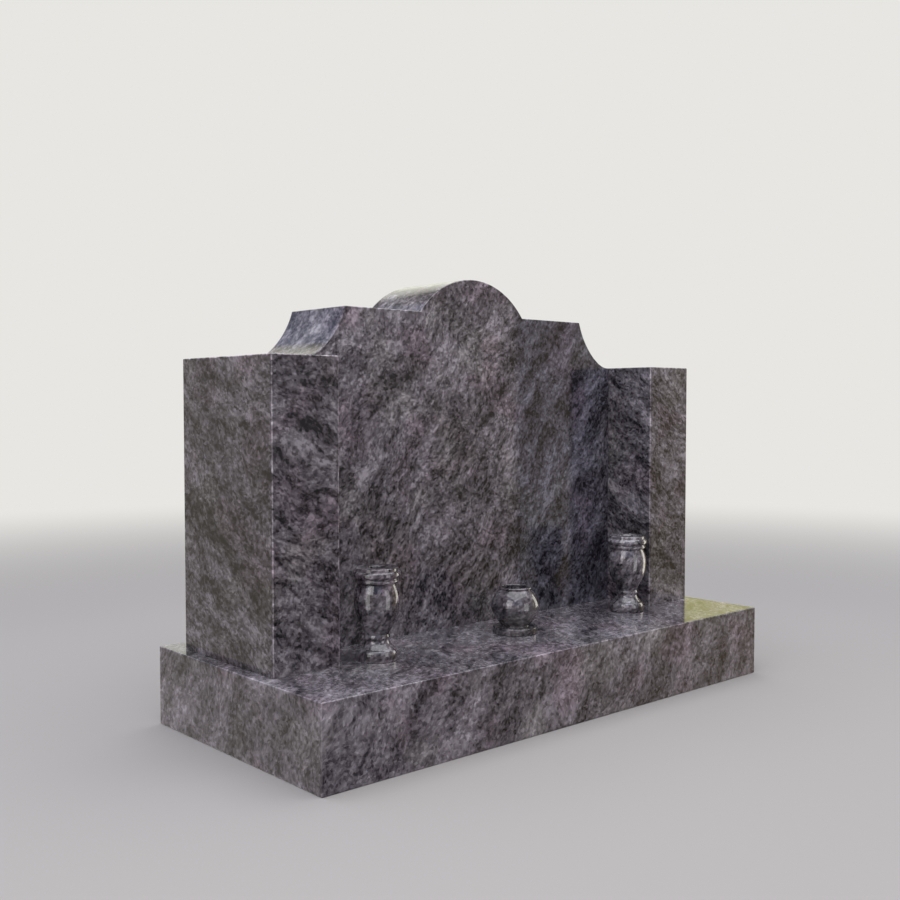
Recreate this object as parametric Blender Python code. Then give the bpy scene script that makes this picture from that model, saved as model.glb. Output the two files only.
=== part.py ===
# Headstone in polished granite: a plinth, a tablet between two pillars, two vases and a bowl.
# Sizes are in metres. The width runs along X, the front faces -Y and the underside is at z = 0.

import math

import bmesh
import bpy
from mathutils import Vector
from mathutils.geometry import interpolate_bezier

# Clearance left between two stones that touch, the flat taken off each exposed edge,
# and the turn from which two faces make an edge and not a curve
JOINT = 0.0003
ARRIS = 0.0018
EDGE_TURN = math.radians(14)

# Plinth: what it carries, with a ledge left on every side
PLINTH_HEIGHT = 0.152
FRONT_LEDGE = 0.178
BACK_LEDGE = 0.058
SIDE_LEDGE = 0.0255

# Pillars
PILLAR_WIDTH = 0.140
PILLAR_DEPTH = 0.310
PILLAR_HEIGHT = 0.557

# Tablet: it fills the bay between the pillars, flush with their backs
BAY_WIDTH = 0.889
TABLET_THICKNESS = 0.185
SHOULDER_RISE = 0.1035
CROWN_RISE = 0.074
CROWN_RADIUS = 0.184
COVE_RUN = 0.101
COVE_FLAT = 0.006
COVE_LEAN = math.radians(15.4)
COVE_TOP_PULL = 0.53
COVE_END_PULL = 0.36
CROWN_STEPS = 40
COVE_STEPS = 14

# Vessels: turned, and standing in one row just ahead of the line of the pillars' fronts
VESSEL_SIDES = 28
ROW_AHEAD = 0.0015
VESSEL_ARRIS = 0.001
MOUTH_EASE = 0.0025

# Vase: the lip, ring, neck and belly hang down from its top, and the waist and step rise from its foot
VASE_INSET = 0.0835
VASE_HEIGHT = 0.1715
VASE_LIP_RADIUS = 0.0446
VASE_LIP_DROP = 0.0129
VASE_LIP_THICKNESS = 0.014
VASE_BAND_INSET = 0.0054
VASE_RING_DROP = 0.0246
VASE_RING_THICKNESS = 0.007
VASE_RING_BULGE = 0.005
VASE_NECK_RADIUS = 0.0363
VASE_NECK_DROP = 0.0305
VASE_BELLY_RADIUS = 0.0431
VASE_BELLY_DROP = 0.0595
VASE_WAIST_RADIUS = 0.0226
VASE_WAIST_TOP = 0.048
VASE_WAIST_BOTTOM = 0.0376
VASE_BEAD_BULGE = 0.0015
VASE_BEAD_THICKNESS = 0.0068
VASE_STEP_HEIGHT = 0.0225
VASE_STEP_INSET = 0.0062
VASE_FOOT_RADIUS = 0.038
VASE_FOOT_WIDEST = 0.009
VASE_BORE_RADIUS = 0.0155
VASE_FLOOR_THICKNESS = 0.064

# Bowl, in the same way
BOWL_HEIGHT = 0.095
BOWL_RIM_RADIUS = 0.0344
BOWL_RIM_ROLL = 0.002
BOWL_RIM_UNDERCUT = 0.0016
BOWL_SHOULDER_DROP = 0.005
BOWL_BELLY_RADIUS = 0.050
BOWL_BELLY_DROP = 0.0395
BOWL_STEM_RADIUS = 0.029
BOWL_STEM_RISE = 0.0027
BOWL_FOOT_RADIUS = 0.0462
BOWL_FOOT_HEIGHT = 0.0138
BOWL_FOOT_SPREAD = 0.003
BOWL_BORE_RADIUS = 0.029
BOWL_FLOOR_THICKNESS = 0.027

# What follows from the sizes above
plinth_width = BAY_WIDTH + 2 * (PILLAR_WIDTH + SIDE_LEDGE)
plinth_depth = FRONT_LEDGE + PILLAR_DEPTH + BACK_LEDGE
bed = PLINTH_HEIGHT + JOINT
pillar_front = FRONT_LEDGE - plinth_depth / 2
pillar_back = pillar_front + PILLAR_DEPTH
pillar_top = bed + PILLAR_HEIGHT
shoulder_top = pillar_top + SHOULDER_RISE
crown_top = shoulder_top + CROWN_RISE
bay_half = BAY_WIDTH / 2

# Colour, as linear light
GRANITE = (0.088, 0.079, 0.086)
TURNED_GRANITE = (0.070, 0.063, 0.069)
POLISH = 0.12


def clear_scene():
    for obj in list(bpy.data.objects):
        bpy.data.objects.remove(obj)


def granite(name, colour):
    material = bpy.data.materials.new(name)
    material.use_nodes = True
    shader = material.node_tree.nodes["Principled BSDF"]
    shader.inputs["Base Color"].default_value = (*colour, 1)
    shader.inputs["Roughness"].default_value = POLISH
    shader.inputs["Metallic"].default_value = 0
    return material


def add_object(name, bm, colour):
    mesh = bpy.data.meshes.new(name)
    bm.to_mesh(mesh)
    bm.free()
    obj = bpy.data.objects.new(name, mesh)
    bpy.context.scene.collection.objects.link(obj)
    mesh.materials.append(granite(name, colour))
    return obj


def add_prism(name, outline, front, back, is_bedded):
    """A stone sawn to an outline in X and Z, from front to back, with its exposed edges eased."""
    bm = bmesh.new()
    face = bm.faces.new([bm.verts.new((x, front, z)) for x, z in outline])
    swept = bmesh.ops.extrude_face_region(bm, geom=[face])
    moved = [part for part in swept["geom"] if isinstance(part, bmesh.types.BMVert)]
    bmesh.ops.translate(bm, verts=moved, vec=(0, back - front, 0))
    bmesh.ops.recalc_face_normals(bm, faces=bm.faces)
    lowest = min(z for _, z in outline)
    sharp = [
        edge
        for edge in bm.edges
        if edge.calc_face_angle() > EDGE_TURN and not (is_bedded and on_bed(edge, lowest))
    ]
    bmesh.ops.bevel(bm, geom=sharp, offset=ARRIS, segments=1, profile=0.5, affect="EDGES")
    return add_object(name, bm, GRANITE)


def on_bed(edge, level):
    return all(abs(vert.co.z - level) < JOINT for vert in edge.verts)


def rectangle(left, right, low, high):
    return [(left, low), (right, low), (right, high), (left, high)]


def curve(start, start_pull, end_pull, end, steps):
    """Points after the start of a Bezier curve, up to its end."""
    knots = [Vector((*point, 0)) for point in (start, start_pull, end_pull, end)]
    return [(p.x, p.y) for p in interpolate_bezier(*knots, steps + 1)[1:]]


def oval(centre, across, up, first, last, steps):
    """Points on an oval round a centre, from the first angle to the last, in degrees."""
    turns = [math.radians(first + (last - first) * i / steps) for i in range(steps + 1)]
    return [(centre[0] + across * math.cos(t), centre[1] + up * math.sin(t)) for t in turns]


def tablet_outline():
    side = bay_half - JOINT
    cove_end = (bay_half - COVE_FLAT, pillar_top)
    shoulder_end = (cove_end[0] - COVE_RUN, shoulder_top)
    drop = COVE_TOP_PULL * SHOULDER_RISE
    top_pull = (
        shoulder_end[0] + drop * math.sin(COVE_LEAN),
        shoulder_end[1] - drop * math.cos(COVE_LEAN),
    )
    end_pull = (cove_end[0] - COVE_END_PULL * COVE_RUN, pillar_top)
    cove = [shoulder_end] + curve(shoulder_end, top_pull, end_pull, cove_end, COVE_STEPS)
    half_crown = math.degrees(math.acos(1 - CROWN_RISE / CROWN_RADIUS))
    crown = oval(
        (0, crown_top - CROWN_RADIUS),
        CROWN_RADIUS,
        CROWN_RADIUS,
        90 - half_crown,
        90 + half_crown,
        CROWN_STEPS,
    )
    right = [(side, bed), (side, pillar_top)] + cove[::-1]
    left = [(-x, z) for x, z in right[::-1]]
    return right + crown + left


def add_turned(name, profile, x):
    """A turned vessel. Its profile runs from the middle of its floor, over the rim, to under its foot."""
    mesh = bpy.data.meshes.new(name)
    points = [(radius, 0, height) for radius, height in profile]
    mesh.from_pydata(points, [(i, i + 1) for i in range(len(points) - 1)], [])
    obj = bpy.data.objects.new(name, mesh)
    bpy.context.scene.collection.objects.link(obj)
    obj.location = (x, pillar_front - ROW_AHEAD, bed)
    mesh.materials.append(granite(name, TURNED_GRANITE))
    lathe = obj.modifiers.new("lathe", "SCREW")
    lathe.axis = "Z"
    lathe.steps = VESSEL_SIDES
    lathe.render_steps = VESSEL_SIDES
    lathe.use_merge_vertices = True
    lathe.merge_threshold = 0.00001
    lathe.use_smooth_shade = True
    return obj


def bore(radius, floor, top):
    """The drilled hole, from the middle of its floor to the eased edge of the mouth."""
    ease = MOUTH_EASE
    mouth = oval((radius + ease, top - ease), ease, ease, 180, 90, 2)
    return [(0, floor), (radius, floor)] + mouth


def foot_edge(radius):
    """The eased lower edge of a foot, and in to the middle of the underside."""
    return [(radius, VESSEL_ARRIS), (radius - VESSEL_ARRIS, 0), (0, 0)]


def sweep(start, end, steps, leave, arrive):
    """A curve down a profile. Each pull is a pair of shares, of the change in radius and of the drop."""
    wide = end[0] - start[0]
    drop = end[1] - start[1]
    start_pull = (start[0] + wide * leave[0], start[1] + drop * leave[1])
    end_pull = (end[0] - wide * arrive[0], end[1] - drop * arrive[1])
    return curve(start, start_pull, end_pull, end, steps)


def vase_profile():
    top = VASE_HEIGHT
    band = VASE_LIP_RADIUS - VASE_BAND_INSET
    neck = (VASE_NECK_RADIUS, top - VASE_NECK_DROP)
    belly = (VASE_BELLY_RADIUS, top - VASE_BELLY_DROP)
    waist_top = (VASE_WAIST_RADIUS, VASE_WAIST_TOP)
    waist_bottom = (VASE_WAIST_RADIUS, VASE_WAIST_BOTTOM)
    step = (VASE_FOOT_RADIUS - VASE_STEP_INSET, VASE_STEP_HEIGHT)
    profile = bore(VASE_BORE_RADIUS, VASE_FLOOR_THICKNESS, top)
    # The lip: an upright band over a fat roll, with a thinner ring under it
    profile += [(band - VESSEL_ARRIS, top), (band, top - VESSEL_ARRIS)]
    lip_middle = (band, top - VASE_LIP_DROP)
    profile += oval(lip_middle, VASE_BAND_INSET, VASE_LIP_THICKNESS / 2, 90, -90, 6)
    ring_middle = (neck[0] + VASE_RING_BULGE / 2, top - VASE_RING_DROP)
    profile += oval(ring_middle, VASE_RING_BULGE / 2, VASE_RING_THICKNESS / 2, 70, -70, 3)
    # The body: out to the belly, then in to the waist
    profile += [neck]
    profile += sweep(neck, belly, 4, leave=(0.35, 0.19), arrive=(0, 0.45))
    profile += sweep(belly, waist_top, 7, leave=(0, 0.5), arrive=(0.26, 0.22))
    # The waist bead, the bell below it and the stepped foot
    bead_middle = (waist_top[0], (waist_top[1] + waist_bottom[1]) / 2)
    profile += oval(bead_middle, VASE_BEAD_BULGE, VASE_BEAD_THICKNESS / 2, 60, -60, 2)
    profile += [waist_bottom]
    profile += sweep(waist_bottom, step, 4, leave=(0.03, 0.36), arrive=(0.47, 0.38))
    foot_middle = (step[0] + VESSEL_ARRIS, VASE_FOOT_WIDEST)
    rise = step[1] - VESSEL_ARRIS - foot_middle[1]
    profile += oval(foot_middle, VASE_FOOT_RADIUS - foot_middle[0], rise, 80, 0, 4)
    return profile + foot_edge(VASE_FOOT_RADIUS)


def bowl_profile():
    top = BOWL_HEIGHT
    roll = BOWL_RIM_ROLL
    shoulder = (BOWL_RIM_RADIUS - BOWL_RIM_UNDERCUT, top - BOWL_SHOULDER_DROP)
    belly = (BOWL_BELLY_RADIUS, top - BOWL_BELLY_DROP)
    stem = (BOWL_STEM_RADIUS, BOWL_FOOT_HEIGHT + BOWL_STEM_RISE)
    profile = bore(BOWL_BORE_RADIUS, BOWL_FLOOR_THICKNESS, top)
    # The rolled rim and the round body
    profile += oval((BOWL_RIM_RADIUS - roll, top - roll), roll, roll, 90, -60, 4)
    profile += [shoulder]
    profile += sweep(shoulder, belly, 6, leave=(0.43, 0.2), arrive=(0, 0.36))
    profile += sweep(belly, stem, 6, leave=(0, 0.35), arrive=(0.43, 0.24))
    # The disc foot
    profile += [(stem[0], BOWL_FOOT_HEIGHT + VESSEL_ARRIS)]
    profile += [(BOWL_FOOT_RADIUS - BOWL_FOOT_SPREAD, BOWL_FOOT_HEIGHT)]
    edge = BOWL_FOOT_SPREAD - VESSEL_ARRIS
    profile += oval((BOWL_FOOT_RADIUS - edge, BOWL_FOOT_HEIGHT - edge), edge, edge, 60, 0, 2)
    return profile + foot_edge(BOWL_FOOT_RADIUS)


def build():
    clear_scene()
    half = plinth_width / 2
    add_prism(
        "plinth",
        rectangle(-half, half, 0, PLINTH_HEIGHT),
        -plinth_depth / 2,
        plinth_depth / 2,
        False,
    )
    add_prism("tablet", tablet_outline(), pillar_back - TABLET_THICKNESS, pillar_back, True)
    for side, name in ((-1, "left_pillar"), (1, "right_pillar")):
        edges = sorted((side * bay_half, side * (bay_half + PILLAR_WIDTH)))
        add_prism(name, rectangle(*edges, bed, pillar_top), pillar_front, pillar_back, True)
    vase_x = bay_half - VASE_INSET
    add_turned("left_vase", vase_profile(), -vase_x)
    add_turned("right_vase", vase_profile(), vase_x)
    add_turned("bowl", bowl_profile(), 0)


build()
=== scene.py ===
import math

import bmesh
import bpy
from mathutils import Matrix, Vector
from mathutils.geometry import interpolate_bezier


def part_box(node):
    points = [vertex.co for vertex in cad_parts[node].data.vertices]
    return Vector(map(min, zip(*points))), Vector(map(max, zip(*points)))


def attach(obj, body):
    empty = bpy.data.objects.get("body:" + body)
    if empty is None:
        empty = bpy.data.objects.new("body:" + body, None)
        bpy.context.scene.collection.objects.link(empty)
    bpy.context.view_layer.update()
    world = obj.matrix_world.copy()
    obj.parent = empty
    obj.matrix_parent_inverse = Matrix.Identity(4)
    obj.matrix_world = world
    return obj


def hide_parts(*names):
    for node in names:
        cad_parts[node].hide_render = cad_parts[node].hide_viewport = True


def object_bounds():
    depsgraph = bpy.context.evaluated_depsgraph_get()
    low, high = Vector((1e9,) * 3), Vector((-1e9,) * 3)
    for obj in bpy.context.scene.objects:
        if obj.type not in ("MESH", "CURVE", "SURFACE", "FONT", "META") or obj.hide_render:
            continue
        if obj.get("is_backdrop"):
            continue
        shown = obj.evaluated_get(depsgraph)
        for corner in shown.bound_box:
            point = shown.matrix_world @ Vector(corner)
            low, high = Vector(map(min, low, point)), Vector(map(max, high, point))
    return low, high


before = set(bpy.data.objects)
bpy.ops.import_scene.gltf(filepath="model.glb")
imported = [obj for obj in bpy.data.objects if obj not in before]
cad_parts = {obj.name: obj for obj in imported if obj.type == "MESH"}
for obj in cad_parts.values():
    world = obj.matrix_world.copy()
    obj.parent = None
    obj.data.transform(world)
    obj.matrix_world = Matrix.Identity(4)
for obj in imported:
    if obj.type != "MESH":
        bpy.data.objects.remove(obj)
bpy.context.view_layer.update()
scene = bpy.context.scene
print("frame loaded")


# Shader helpers

def addNode(tree, kind, **settings):
    node = tree.nodes.new(kind)
    for name, value in settings.items():
        setattr(node, name, value)
    return node


def plug(tree, socket, value):
    if isinstance(value, bpy.types.NodeSocket):
        tree.links.new(value, socket)
    elif value is not None:
        socket.default_value = value


def calc(tree, operation, a, b=None, c=None):
    node = addNode(tree, "ShaderNodeMath", operation=operation)
    for socket, value in zip(node.inputs, (a, b, c)):
        plug(tree, socket, value)
    return node.outputs[0]


def vectorCalc(tree, operation, a, b=None, scale=None, output="Vector"):
    node = addNode(tree, "ShaderNodeVectorMath", operation=operation)
    plug(tree, node.inputs[0], a)
    if b is not None:
        plug(tree, node.inputs[1], b)
    if scale is not None:
        plug(tree, node.inputs["Scale"], scale)
    return node.outputs[output]


def noise(tree, vector, size, detail, roughness, output="Fac"):
    node = addNode(tree, "ShaderNodeTexNoise")  # size is the width of its largest forms, in metres
    plug(tree, node.inputs["Vector"], vector)
    node.inputs["Scale"].default_value = 1 / size
    node.inputs["Detail"].default_value = detail
    node.inputs["Roughness"].default_value = roughness
    return node.outputs[output]


def crystals(tree, vector, size):
    node = addNode(tree, "ShaderNodeTexVoronoi", feature="F1")
    plug(tree, node.inputs["Vector"], vector)
    node.inputs["Scale"].default_value = 1 / size
    return node.outputs["Color"]


def remap(tree, value, low, high, newLow=0.0, newHigh=1.0, smooth=True):
    node = addNode(tree, "ShaderNodeMapRange", interpolation_type="SMOOTHSTEP" if smooth else "LINEAR")
    for socket, number in zip(node.inputs, (value, low, high, newLow, newHigh)):
        plug(tree, socket, number)
    return node.outputs[0]


def mixColour(tree, factor, a, b, blend="MIX"):
    mix = addNode(tree, "ShaderNodeMix", data_type="RGBA", blend_type=blend)
    plug(tree, mix.inputs["Factor"], factor)
    for socket, value in ((mix.inputs[6], a), (mix.inputs[7], b)):  # the colour pair of its inputs
        plug(tree, socket, (*value, 1) if isinstance(value, tuple) else value)
    return mix.outputs[2]


def newGroup(name, inputs, outputs):
    group = bpy.data.node_groups.new(name, "ShaderNodeTree")
    for side, sockets in (("INPUT", inputs), ("OUTPUT", outputs)):
        for label, kind in sockets.items():
            group.interface.new_socket(label, in_out=side, socket_type="NodeSocket" + kind)
    return group, addNode(group, "NodeGroupInput").outputs, addNode(group, "NodeGroupOutput").inputs


# The figure of the granite: crystals and slivers of pale and dark mineral that run in swirling streaks
# across Z, with darker clouds and lilac and grey-green patches. Sizes are in metres, and each press
# says how far a layer is flattened along Z, as a share of the stone's own flatness.

figure = {
    "swirlSize": 0.16, "kinkSize": 0.018, "kink": 0.006, "crystalSize": 0.0062, "speckleSize": 0.011,
    "sliverSize": 0.0125, "streakSize": 0.034, "cloudSize": 0.15, "patchSize": 0.12,
    "crystalShare": 0.38, "speckleShare": 0.85, "streakShare": 0.95, "cloudShare": 0.78,
    "darkShare": 0.12, "paleShare": 0.12, "middle": 0.51,
    "grainPress": 0.2, "sliverPress": 0.4, "streakPress": 1.0, "cloudPress": 1.4,
    "gather": 0.5, "darkFrom": (0.54, 0.61), "paleFrom": (0.57, 0.65), "patchFrom": (0.5, 0.66),
    "paleShift": (7.7, 2.3, 4.1), "mossShift": (3.1, 1.7, 5.3),
}


def graniteFigure():
    tree, given, out = newGroup(
        "graniteFigure",
        {"Vector": "Vector", "Swirl": "Float", "Flatness": "Float", "Contrast": "Float"},
        {"Tone": "Float", "Lilac": "Float", "Moss": "Float", "Pits": "Float"},
    )

    def offCentre(value):
        return calc(tree, "SUBTRACT", value, 0.5)

    def bend(vector, size, strength):
        push = noise(tree, vector, size, detail=2, roughness=0.5, output="Color")
        push = vectorCalc(tree, "SUBTRACT", push, (0.5, 0.5, 0.5))
        return vectorCalc(tree, "SCALE", push, scale=strength)

    def press(vector, share):
        flat = addNode(tree, "ShaderNodeCombineXYZ")
        flat.inputs[0].default_value = 1
        flat.inputs[1].default_value = 1
        extra = calc(tree, "SUBTRACT", given["Flatness"], 1)
        plug(tree, flat.inputs[2], calc(tree, "MULTIPLY_ADD", extra, share, 1))
        return vectorCalc(tree, "MULTIPLY", vector, flat.outputs[0])

    def moved(vector, offset):
        return vectorCalc(tree, "ADD", vector, offset)

    bent = moved(given["Vector"], bend(given["Vector"], figure["swirlSize"], given["Swirl"]))
    bent = moved(bent, bend(given["Vector"], figure["kinkSize"], figure["kink"]))
    grain = press(bent, figure["grainPress"])
    fleck = addNode(tree, "ShaderNodeSeparateColor")
    plug(tree, fleck.inputs[0], crystals(tree, grain, figure["crystalSize"]))
    speckle = noise(tree, grain, figure["speckleSize"], detail=3, roughness=0.65)
    streak = press(bent, figure["streakPress"])
    streak = noise(tree, streak, figure["streakSize"], detail=2, roughness=0.5)
    cloud = press(bent, figure["cloudPress"])
    cloud = noise(tree, cloud, figure["cloudSize"], detail=2, roughness=0.5)
    gather = calc(tree, "MULTIPLY", offCentre(cloud), figure["gather"])  # dark slivers keep to dark clouds
    thin = press(bent, figure["sliverPress"])
    dark = noise(tree, thin, figure["sliverSize"], detail=3, roughness=0.6)
    dark = remap(tree, calc(tree, "SUBTRACT", dark, gather), *figure["darkFrom"])
    pale = moved(thin, figure["paleShift"])
    pale = noise(tree, pale, figure["sliverSize"], detail=3, roughness=0.6)
    pale = remap(tree, calc(tree, "ADD", pale, gather), *figure["paleFrom"])
    tone = calc(tree, "MULTIPLY_ADD", offCentre(fleck.outputs[0]), figure["crystalShare"], figure["middle"])
    tone = calc(tree, "MULTIPLY_ADD", offCentre(speckle), figure["speckleShare"], tone)
    tone = calc(tree, "MULTIPLY_ADD", offCentre(streak), figure["streakShare"], tone)
    tone = calc(tree, "MULTIPLY_ADD", offCentre(cloud), figure["cloudShare"], tone)
    tone = calc(tree, "MULTIPLY_ADD", dark, -figure["darkShare"], tone)
    tone = offCentre(calc(tree, "MULTIPLY_ADD", pale, figure["paleShare"], tone))
    plug(tree, out["Tone"], calc(tree, "MULTIPLY_ADD", tone, given["Contrast"], 0.5))
    for patch, spot in (("Lilac", bent), ("Moss", moved(bent, figure["mossShift"]))):
        spread = noise(tree, spot, figure["patchSize"], detail=3, roughness=0.5)
        plug(tree, out[patch], remap(tree, spread, *figure["patchFrom"]))
    plug(tree, out["Pits"], fleck.outputs[1])
    return tree


figureGroup = graniteFigure()

graniteTones = [
    (0.00, (0.0048, 0.0042, 0.0054)),
    (0.15, (0.0160, 0.0142, 0.0174)),
    (0.32, (0.0392, 0.0346, 0.0406)),
    (0.50, (0.0715, 0.0640, 0.0738)),
    (0.68, (0.1130, 0.1025, 0.1166)),
    (0.85, (0.1650, 0.1510, 0.1708)),
    (1.00, (0.2360, 0.2170, 0.2445)),
]
polished = {
    "swirl": 0.05, "flatness": 2.6,
    "lilac": (1.10, 0.95, 1.00), "lilacShare": 0.6, "moss": (0.97, 1.0, 0.92), "mossShare": 0.8,
    "gloss": 0.08, "glossSpread": 0.08, "ior": 1.48, "bump": 0.03, "bumpDepth": 0.0002,
}
honed = {"gloss": 0.22, "glossSpread": 0.1, "bump": 0.05}  # the eased edges are less polished


# Painted dark reflection: the tablet's front is tinted darker right of a wandering line, a reflection painted
# into its colour. It fades out going back, so the rear face stays clear.
def paintDarkReflectionRight(tree, place, colour, dusk):
    along = addNode(tree, "ShaderNodeSeparateXYZ")
    plug(tree, along.inputs[0], place)
    wander = noise(tree, place, dusk["edge"], detail=2, roughness=0.6)
    wander = calc(tree, "MULTIPLY_ADD", wander, dusk["edge"], along.outputs[0])
    right = remap(tree, wander, dusk["from"], dusk["from"] + dusk["edge"])
    front = remap(tree, along.outputs[1], *dusk["depth"], 1.0, 0.0)
    return mixColour(tree, calc(tree, "MULTIPLY", right, front), colour, dusk["tint"], "MULTIPLY")


def granite(name, finish):
    material = bpy.data.materials.new(name)
    material.use_nodes = True
    tree = material.node_tree
    shader = tree.nodes["Principled BSDF"]
    place = addNode(tree, "ShaderNodeTexCoord").outputs["Object"]
    turn = addNode(tree, "ShaderNodeMapping", vector_type="POINT")
    lay = Vector(finish["lay"]).to_track_quat("Z", "Y").inverted().to_euler()  # streaks run square to this
    turn.inputs["Rotation"].default_value = lay
    turn.inputs["Location"].default_value = finish["block"]
    plug(tree, turn.inputs["Vector"], place)
    stone = addNode(tree, "ShaderNodeGroup", node_tree=figureGroup)
    plug(tree, stone.inputs["Vector"], turn.outputs[0])
    stone.inputs["Swirl"].default_value = finish["swirl"]
    stone.inputs["Flatness"].default_value = finish["flatness"]
    stone.inputs["Contrast"].default_value = finish["contrast"]
    ramp = addNode(tree, "ShaderNodeValToRGB")
    plug(tree, ramp.inputs[0], stone.outputs["Tone"])
    stops = ramp.color_ramp.elements
    while len(stops) < len(graniteTones):
        stops.new(0.5)
    for stop, (position, colour) in zip(stops, graniteTones):
        stop.position = position
        stop.color = (*[channel * finish["shade"] for channel in colour], 1)
    colour = ramp.outputs[0]
    for patch in ("lilac", "moss"):
        share = calc(tree, "MULTIPLY", stone.outputs[patch.title()], finish[patch + "Share"])
        colour = mixColour(tree, share, colour, finish[patch], "MULTIPLY")
    # the tablet's painted dark reflection on the right of its front
    if "dusk" in finish:
        colour = paintDarkReflectionRight(tree, place, colour, finish["dusk"])
    plug(tree, shader.inputs["Base Color"], colour)
    dullest = finish["gloss"] + finish["glossSpread"]
    roughness = remap(tree, stone.outputs["Pits"], 0, 1, finish["gloss"], dullest, smooth=False)
    plug(tree, shader.inputs["Roughness"], roughness)
    shader.inputs["IOR"].default_value = finish["ior"]
    bump = addNode(tree, "ShaderNodeBump")
    bump.inputs["Strength"].default_value = finish["bump"]
    bump.inputs["Distance"].default_value = finish["bumpDepth"]
    plug(tree, bump.inputs["Height"], stone.outputs["Pits"])
    plug(tree, shader.inputs["Normal"], bump.outputs[0])
    return material


# The stones. Each is cut from its own block, with the streaks its own way, and edge is how much paler
# its eased edges are painted: partly their honed look, partly a painted highlight along the arrises.

# shade sets each stone's brightness: partly its own tone, partly painted light that stands in for how light
# falls on it
stones = {
    "plinth": {
        "lay": (-1.0, 1.0, 0.60), "block": (0.2, 0.1, 0.4), "shade": 1.54, "contrast": 0.84, "edge": 1.25,
    },
    "tablet": {
        "lay": (-0.80, 0.5, 0.62), "block": (1.3, 0.7, 0.2), "shade": 1.18, "contrast": 1.12, "edge": 1.3,
        # tint darkens the front's right part: a painted dark reflection
        "dusk": {"from": 0.13, "edge": 0.03, "depth": (0.05, 0.11), "tint": (0.59, 0.62, 0.69)},
    },
    "left_pillar": {
        "lay": (0.50, -0.55, 1.0), "block": (2.2, 1.9, 0.6), "shade": 0.88, "contrast": 1.22, "edge": 2.5,
    },
    "right_pillar": {
        "lay": (0.55, -0.60, 1.0), "block": (4.1, 0.3, 1.6), "shade": 1.09, "contrast": 1.14, "edge": 1.8,
    },
}
edges = {
    "arris": 0.0018, "arrisSteps": 3, "bedReach": 0.0001,
    "edgeTurn": math.radians(14), "creaseTurn": math.radians(38),
}


def pieceName(node, ending):
    first, *rest = node.split("_")
    return first + "".join(word.title() for word in rest) + ending


def addPiece(name, mesh, node, materials):
    piece = bpy.data.objects.new(name, mesh)
    scene.collection.objects.link(piece)
    for material in materials:
        mesh.materials.append(material)
    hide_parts(node)
    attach(piece, "root")
    return piece


def easedStone(name, node, outline, front, back, bedded):
    mesh = bpy.data.meshes.new(name)
    bm = bmesh.new()
    face = bm.faces.new([bm.verts.new((x, front, z)) for x, z in outline])
    swept = bmesh.ops.extrude_face_region(bm, geom=[face])
    moved = [part for part in swept["geom"] if isinstance(part, bmesh.types.BMVert)]
    bmesh.ops.translate(bm, verts=moved, vec=(0, back - front, 0))
    bmesh.ops.recalc_face_normals(bm, faces=bm.faces)
    low = min(z for _, z in outline)
    sharp = [
        edge for edge in bm.edges
        if edge.calc_face_angle() > edges["edgeTurn"]
        and not (bedded and all(abs(vert.co.z - low) < edges["bedReach"] for vert in edge.verts))
    ]
    bmesh.ops.bevel(
        bm, geom=sharp, offset=edges["arris"], segments=edges["arrisSteps"], profile=0.5,
        affect="EDGES", material=1,  # the arris look, second of the two
    )
    bm.to_mesh(mesh)
    bm.free()
    mesh.shade_smooth()
    mesh.set_sharp_from_angle(angle=edges["creaseTurn"])
    look = stones[node]
    body = granite(name + "Granite", {**polished, **look})
    # the arrises get a paler copy of the stone: a painted highlight along them, on top of their honed finish
    arrisWithPaintedHighlight = granite(name + "Arris", {**polished, **look, **honed, "shade": look["shade"] * look["edge"]})
    piece = addPiece(name, mesh, node, [body, arrisWithPaintedHighlight])
    even = piece.modifiers.new("evenShading", "WEIGHTED_NORMAL")
    even.mode = "FACE_AREA"
    even.keep_sharp = True


def boxOutline(low, high):
    return [(low.x, low.z), (high.x, low.z), (high.x, high.z), (low.x, high.z)]


def curve(start, startPull, endPull, end, steps):
    knots = [Vector((*point, 0)) for point in (start, startPull, endPull, end)]
    return [(p.x, p.y) for p in interpolate_bezier(*knots, steps + 1)[1:]]


def oval(centre, across, up, first, last, steps):
    turns = [math.radians(first + (last - first) * i / steps) for i in range(steps + 1)]
    return [(centre[0] + across * math.cos(t), centre[1] + up * math.sin(t)) for t in turns]


tabletForm = {
    "shoulderRise": 0.1035, "crownRise": 0.074, "crownRadius": 0.184,
    "coveRun": 0.101, "coveFlat": 0.006, "coveLean": math.radians(15.4), "coveTopPull": 0.53,
    "coveEndPull": 0.36, "crownSteps": 96, "coveSteps": 40,
}


def tabletOutline(low, high):
    form = tabletForm
    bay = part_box("right_pillar")[0].x
    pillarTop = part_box("right_pillar")[1].z
    coveEnd = (bay - form["coveFlat"], pillarTop)
    shoulder = (coveEnd[0] - form["coveRun"], pillarTop + form["shoulderRise"])
    drop, lean = form["coveTopPull"] * form["shoulderRise"], form["coveLean"]
    topPull = (shoulder[0] + drop * math.sin(lean), shoulder[1] - drop * math.cos(lean))
    endPull = (coveEnd[0] - form["coveEndPull"] * form["coveRun"], pillarTop)
    cove = [shoulder] + curve(shoulder, topPull, endPull, coveEnd, form["coveSteps"])
    radius = form["crownRadius"]
    halfCrown = math.degrees(math.acos(1 - form["crownRise"] / radius))
    crown = oval((0, high.z - radius), radius, radius, 90 - halfCrown, 90 + halfCrown, form["crownSteps"])
    right = [(high.x, low.z), (high.x, pillarTop)] + cove[::-1]
    return right + crown + [(-x, z) for x, z in right[::-1]]


for node in stones:
    low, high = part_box(node)
    outline = tabletOutline(low, high) if node == "tablet" else boxOutline(low, high)
    easedStone(pieceName(node, "Stone"), node, outline, low.y, high.y, node != "plinth")
print("stones cut")


# The turned vessels, of the same stone in a darker, glossier cut

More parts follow.
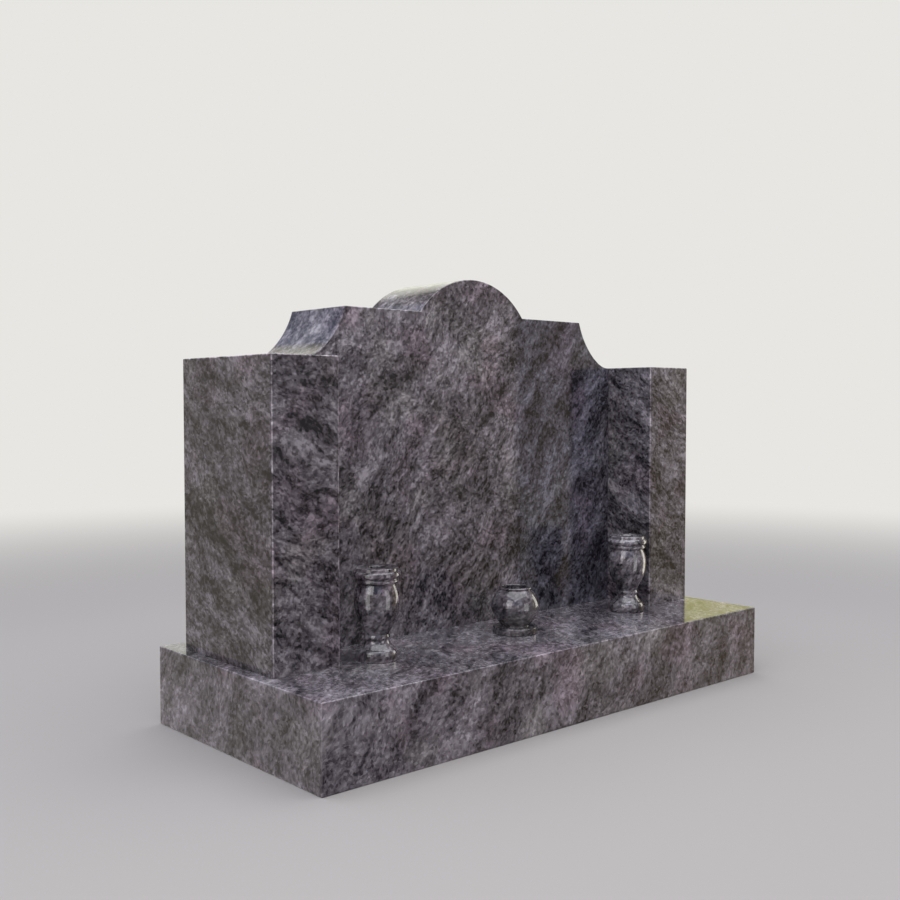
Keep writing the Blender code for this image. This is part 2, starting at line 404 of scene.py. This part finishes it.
vesselForm = {"sides": 160, "fine": 5, "arris": 0.001, "ease": 0.0025}
vaseForm = {
    "height": 0.1715, "lipRadius": 0.0446, "lipDrop": 0.0129, "lipThickness": 0.014, "bandInset": 0.0054,
    "ringDrop": 0.0246, "ringThickness": 0.007, "ringBulge": 0.005, "neckRadius": 0.0363, "neckDrop": 0.0305,
    "bellyRadius": 0.0431, "bellyDrop": 0.0595, "waistRadius": 0.0226, "waistTop": 0.048,
    "waistBottom": 0.0376, "beadBulge": 0.0015, "beadThickness": 0.0068, "stepHeight": 0.0225,
    "stepInset": 0.0062, "footRadius": 0.038, "footWidest": 0.009, "boreRadius": 0.0155, "floor": 0.064,
    "bellyPulls": ((0.35, 0.19), (0, 0.45)), "waistPulls": ((0, 0.5), (0.26, 0.22)),
    "stepPulls": ((0.03, 0.36), (0.47, 0.38)),
}
bowlForm = {
    "height": 0.095, "rimRadius": 0.0344, "rimRoll": 0.002, "rimUndercut": 0.0016, "shoulderDrop": 0.005,
    "bellyRadius": 0.050, "bellyDrop": 0.0395, "stemRadius": 0.029, "stemRise": 0.0027,
    "footRadius": 0.0462, "footHeight": 0.0138, "footSpread": 0.003, "boreRadius": 0.029, "floor": 0.027,
    "bellyPulls": ((0.43, 0.2), (0, 0.36)), "stemPulls": ((0, 0.35), (0.43, 0.24)),
}
turned = {
    **polished, "lay": (-0.6, 0.5, 0.8), "swirl": 0.03, "contrast": 1.2,
    "gloss": 0.03, "glossSpread": 0.03, "ior": 1.58, "bump": 0.015,
}


def sweep(start, end, steps, pulls):
    leave, arrive = pulls  # how far its two handles reach, as shares of its width and of its drop
    wide, drop = end[0] - start[0], end[1] - start[1]
    startPull = (start[0] + wide * leave[0], start[1] + drop * leave[1])
    endPull = (end[0] - wide * arrive[0], end[1] - drop * arrive[1])
    return curve(start, startPull, endPull, end, steps * vesselForm["fine"])


def arc(centre, across, up, first, last, steps):
    return oval(centre, across, up, first, last, steps * vesselForm["fine"])


def bore(radius, floor, top):
    ease = vesselForm["ease"]
    return [(0, floor), (radius, floor)] + arc((radius + ease, top - ease), ease, ease, 180, 90, 2)


def footEdge(radius):
    ease = vesselForm["arris"]
    return [(radius, ease), (radius - ease, 0), (0, 0)]


def vaseProfile():
    form, ease = vaseForm, vesselForm["arris"]
    top = form["height"]
    band = form["lipRadius"] - form["bandInset"]
    neck = (form["neckRadius"], top - form["neckDrop"])
    belly = (form["bellyRadius"], top - form["bellyDrop"])
    waistTop = (form["waistRadius"], form["waistTop"])
    waistBottom = (form["waistRadius"], form["waistBottom"])
    step = (form["footRadius"] - form["stepInset"], form["stepHeight"])
    profile = bore(form["boreRadius"], form["floor"], top)
    profile += [(band - ease, top), (band, top - ease)]
    profile += arc((band, top - form["lipDrop"]), form["bandInset"], form["lipThickness"] / 2, 90, -90, 6)
    ring = (neck[0] + form["ringBulge"] / 2, top - form["ringDrop"])
    profile += arc(ring, form["ringBulge"] / 2, form["ringThickness"] / 2, 70, -70, 3) + [neck]
    profile += sweep(neck, belly, 4, form["bellyPulls"])
    profile += sweep(belly, waistTop, 7, form["waistPulls"])
    bead = (waistTop[0], (waistTop[1] + waistBottom[1]) / 2)
    profile += arc(bead, form["beadBulge"], form["beadThickness"] / 2, 60, -60, 2) + [waistBottom]
    profile += sweep(waistBottom, step, 4, form["stepPulls"])
    foot = (step[0] + ease, form["footWidest"])
    profile += arc(foot, form["footRadius"] - foot[0], step[1] - ease - foot[1], 80, 0, 4)
    return profile + footEdge(form["footRadius"])


def bowlProfile():
    form, ease = bowlForm, vesselForm["arris"]
    top, roll = form["height"], form["rimRoll"]
    shoulder = (form["rimRadius"] - form["rimUndercut"], top - form["shoulderDrop"])
    belly = (form["bellyRadius"], top - form["bellyDrop"])
    stem = (form["stemRadius"], form["footHeight"] + form["stemRise"])
    profile = bore(form["boreRadius"], form["floor"], top)
    profile += arc((form["rimRadius"] - roll, top - roll), roll, roll, 90, -60, 4) + [shoulder]
    profile += sweep(shoulder, belly, 6, form["bellyPulls"])
    profile += sweep(belly, stem, 6, form["stemPulls"])
    disc = (form["footRadius"] - form["footSpread"], form["footHeight"])
    profile += [(stem[0], disc[1] + ease), disc]
    edge = form["footSpread"] - ease
    profile += arc((form["footRadius"] - edge, form["footHeight"] - edge), edge, edge, 60, 0, 2)
    return profile + footEdge(form["footRadius"])


vessels = bpy.data.collections.new("turnedVessels")
# shade sets each vessel's brightness: the vases are cut brighter than the bowl as a painted pale reflection
# on their lower bodies
vesselCuts = {
    "left_vase": {"profile": vaseProfile(), "block": (0.6, 2.7, 0.9), "shade": 1.0},
    "right_vase": {"profile": vaseProfile(), "block": (3.3, 1.1, 2.4), "shade": 1.0},
    "bowl": {"profile": bowlProfile(), "block": (1.9, 4.2, 0.3), "shade": 0.7},
}


def turnVessel(name, node, profile, block, shade):
    low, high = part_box(node)
    x, y = (low.x + high.x) / 2, (low.y + high.y) / 2
    sides = vesselForm["sides"]
    rings = profile[1:-1]
    points = [(x, y, low.z + profile[0][1]), (x, y, low.z + profile[-1][1])]
    for radius, level in rings:
        for i in range(sides):
            turn = 2 * math.pi * i / sides
            points.append((x + radius * math.cos(turn), y + radius * math.sin(turn), low.z + level))
    faces = []
    last = len(rings) - 1
    for i in range(sides):
        j = (i + 1) % sides
        faces.append((0, 2 + i, 2 + j))
        faces.append((1, 2 + last * sides + j, 2 + last * sides + i))
        for k in range(last):
            a, b = 2 + k * sides, 2 + (k + 1) * sides
            faces.append((a + i, b + i, b + j, a + j))
    mesh = bpy.data.meshes.new(name)
    mesh.from_pydata(points, [], faces)
    bm = bmesh.new()
    bm.from_mesh(mesh)
    bmesh.ops.recalc_face_normals(bm, faces=bm.faces)
    bm.to_mesh(mesh)
    bm.free()
    mesh.shade_smooth()
    mesh.set_sharp_from_angle(angle=edges["creaseTurn"])
    material = granite(name + "Granite", {**turned, "block": block, "shade": shade})
    vessels.objects.link(addPiece(name, mesh, node, [material]))


for node, cut in vesselCuts.items():
    turnVessel(pieceName(node, "Turned"), node, **cut)
print("vessels turned")


# The studio: a pale floor, soft light, and an air that the polished faces mirror. A glow lies toward
# a level direction, and spread and rise are where it fades in, by that direction and by height.

studio = {
    "backdrop": (0.80, 0.79, 0.76), "floorColour": (0.30, 0.285, 0.28), "floorRoughness": 0.6,
    "floorRadius": 30, "floorSides": 96, "floorDrop": 0.0005, "fade": (1.4, 5.0),
    "above": (0.95, 1.00, 1.08), "aboveFrom": (0.50, 0.95),
}
fromBelow = (-1.0, -0.5)
glows = [
    {"toward": (0.25, 0.97), "spread": (0.805, 0.84), "rise": fromBelow, "colour": (0.70, 0.71, 0.58)},
    {"toward": (0.97, 0.26), "spread": (0.80, 0.94), "rise": fromBelow, "colour": (0.78, 0.76, 0.28)},
    {"toward": (0.25, 0.97), "spread": (0.805, 0.84), "rise": (0.18, 0.26), "colour": (1.30, 1.30, 1.12)},
    {"toward": (-0.66, -0.75), "spread": (0.10, 0.90), "rise": fromBelow, "colour": (0.66, 0.60, 0.64)},
    {"toward": (-0.75, 0.66), "spread": (0.10, 0.90), "rise": fromBelow, "colour": (0.54, 0.49, 0.41)},
    {"toward": (0.75, -0.66), "spread": (0.10, 0.90), "rise": (-0.16, 0.02), "colour": (0.44, 0.41, 0.45)},
    {"toward": (0.97, -0.24), "spread": (0.70, 1.00), "rise": fromBelow, "colour": (0.62, 0.50, 0.30)},
    {"toward": (-1.0, 0.09), "spread": (-0.02, 0.05), "rise": (0.26, 0.40), "colour": (0.50, 0.55, 0.78)},
]
lamps = {
    "topLight": {
        "place": (0, -0.2, 3.3), "aim": (0, 0, 0), "width": 5.0, "height": 5.0, "power": 174,
        "colour": (0.97, 0.99, 1.0),
    },
    "frontFill": {
        "place": (-0.6, -3.0, 0.9), "aim": (0, 0, 0.35), "width": 2.5, "height": 1.5, "power": 20,
        "colour": (1, 0.95, 0.90), "mirrored": False,
    },
    "keyLight": {
        "place": (-3.2, -0.9, 2.0), "aim": (0, 0, 0.4), "width": 1.8, "height": 1.8, "power": 30,
        "colour": (1, 0.97, 0.94),
    },
}
glints = {  # cards that only the vessels mirror, set by their angles round them in degrees
    "windowLeft": {"turn": -93, "spread": 25, "low": -27, "high": 27, "far": 2.4, "glow": 2.0},
    "windowFront": {"turn": 172, "spread": 22, "low": -26, "high": 25, "far": 2.4, "glow": 2.1},
    "rimStrip": {
        "turn": 104, "spread": 20, "low": -20, "high": 24, "far": 2.6, "glow": 3.4, "colour": (1, 0.99, 0.92),
    },
}


def makeFloor():
    bpy.ops.mesh.primitive_circle_add(
        vertices=studio["floorSides"], radius=studio["floorRadius"], fill_type="NGON",
        location=(0, 0, -studio["floorDrop"]),
    )
    floor = bpy.context.object
    floor.name = "studioFloor"
    material = bpy.data.materials.new("studioFloorPaint")
    material.use_nodes = True
    tree = material.node_tree
    shader = tree.nodes["Principled BSDF"]
    shader.inputs["Base Color"].default_value = (*studio["floorColour"], 1)
    shader.inputs["Roughness"].default_value = studio["floorRoughness"]
    shader.inputs["Specular IOR Level"].default_value = 0.0
    away = vectorCalc(tree, "LENGTH", addNode(tree, "ShaderNodeTexCoord").outputs["Object"], output="Value")
    seen = addNode(tree, "ShaderNodeLightPath").outputs["Is Camera Ray"]
    haze = addNode(tree, "ShaderNodeEmission")
    haze.inputs["Color"].default_value = (*studio["backdrop"], 1)
    fade = addNode(tree, "ShaderNodeMixShader")
    plug(tree, fade.inputs[0], calc(tree, "MULTIPLY", remap(tree, away, *studio["fade"]), seen))
    plug(tree, fade.inputs[1], shader.outputs[0])
    plug(tree, fade.inputs[2], haze.outputs[0])
    plug(tree, tree.nodes["Material Output"].inputs["Surface"], fade.outputs[0])
    floor.data.materials.append(material)
    floor.visible_glossy = False  # the polished faces mirror the air of the studio instead
    floor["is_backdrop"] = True


def makeWorld():
    world = bpy.data.worlds.new("studioAir")
    scene.world = world
    world.use_nodes = True
    tree = world.node_tree
    background = tree.nodes["Background"]
    direction = addNode(tree, "ShaderNodeTexCoord").outputs["Generated"]
    parts = addNode(tree, "ShaderNodeSeparateXYZ")
    plug(tree, parts.inputs[0], direction)
    height = parts.outputs[2]
    air = (0.0, 0.0, 0.0)
    for glow in glows:
        facing = vectorCalc(tree, "DOT_PRODUCT", direction, (*glow["toward"], 0), output="Value")
        facing = remap(tree, facing, *glow["spread"])
        mask = calc(tree, "MULTIPLY", facing, remap(tree, height, *glow["rise"]))
        air = mixColour(tree, mask, air, glow["colour"])
    air = mixColour(tree, remap(tree, height, *studio["aboveFrom"]), air, studio["above"])
    seen = addNode(tree, "ShaderNodeLightPath").outputs["Is Camera Ray"]
    plug(tree, background.inputs["Color"], mixColour(tree, seen, air, studio["backdrop"]))
    background.inputs["Strength"].default_value = 1.0


def softbox(name, place, aim, width, height, power, colour, mirrored=True):
    light = bpy.data.lights.new(name, "AREA")
    light.shape = "RECTANGLE"
    light.size = width
    light.size_y = height
    light.energy = power
    light.color = colour
    lamp = bpy.data.objects.new(name, light)
    scene.collection.objects.link(lamp)
    lamp.location = place
    lamp.rotation_euler = (Vector(aim) - Vector(place)).to_track_quat("-Z", "Y").to_euler()
    lamp.visible_glossy = mirrored
    return lamp


def glint(name, turn, spread, low, high, far, glow, colour=(1, 1, 1)):
    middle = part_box("bowl")[1]
    around = math.radians(turn)
    drop, lift = (far * math.tan(math.radians(angle)) for angle in (low, high))
    aim = (middle.x, middle.y, middle.z + (drop + lift) / 2)
    place = (aim[0] + far * math.sin(around), aim[1] + far * math.cos(around), aim[2])
    width, height = 2 * far * math.tan(math.radians(spread / 2)), lift - drop
    power = glow * math.pi * width * height
    lamp = softbox(name, place, aim, width, height, power, colour)
    lamp.visible_diffuse = False
    lamp.visible_camera = False
    lamp.light_linking.receiver_collection = vessels


makeFloor()
makeWorld()
for name, lamp in lamps.items():
    softbox(name, **lamp)
for name, card in glints.items():
    glint(name, **card)
print("studio lit")


# The camera, from the picture's viewing angle

view = {
    "place": (-1.5908, -1.6779, 0.6221), "yaw": 41.7267, "pitch": -2.3808, "roll": 0.0197,
    "lens": 43.637, "sensor": 36,
}
camera = bpy.data.cameras.new("camera")
camera.lens = view["lens"]
camera.sensor_width = view["sensor"]
cameraPiece = bpy.data.objects.new("camera", camera)
scene.collection.objects.link(cameraPiece)
cameraPiece.location = view["place"]
turns = (90 + view["pitch"], view["roll"], -view["yaw"])
cameraPiece.rotation_euler = [math.radians(angle) for angle in turns]
scene.camera = cameraPiece
scene.view_settings.view_transform = "Standard"
scene.view_settings.look = "None"
print("camera placed")

low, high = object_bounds()
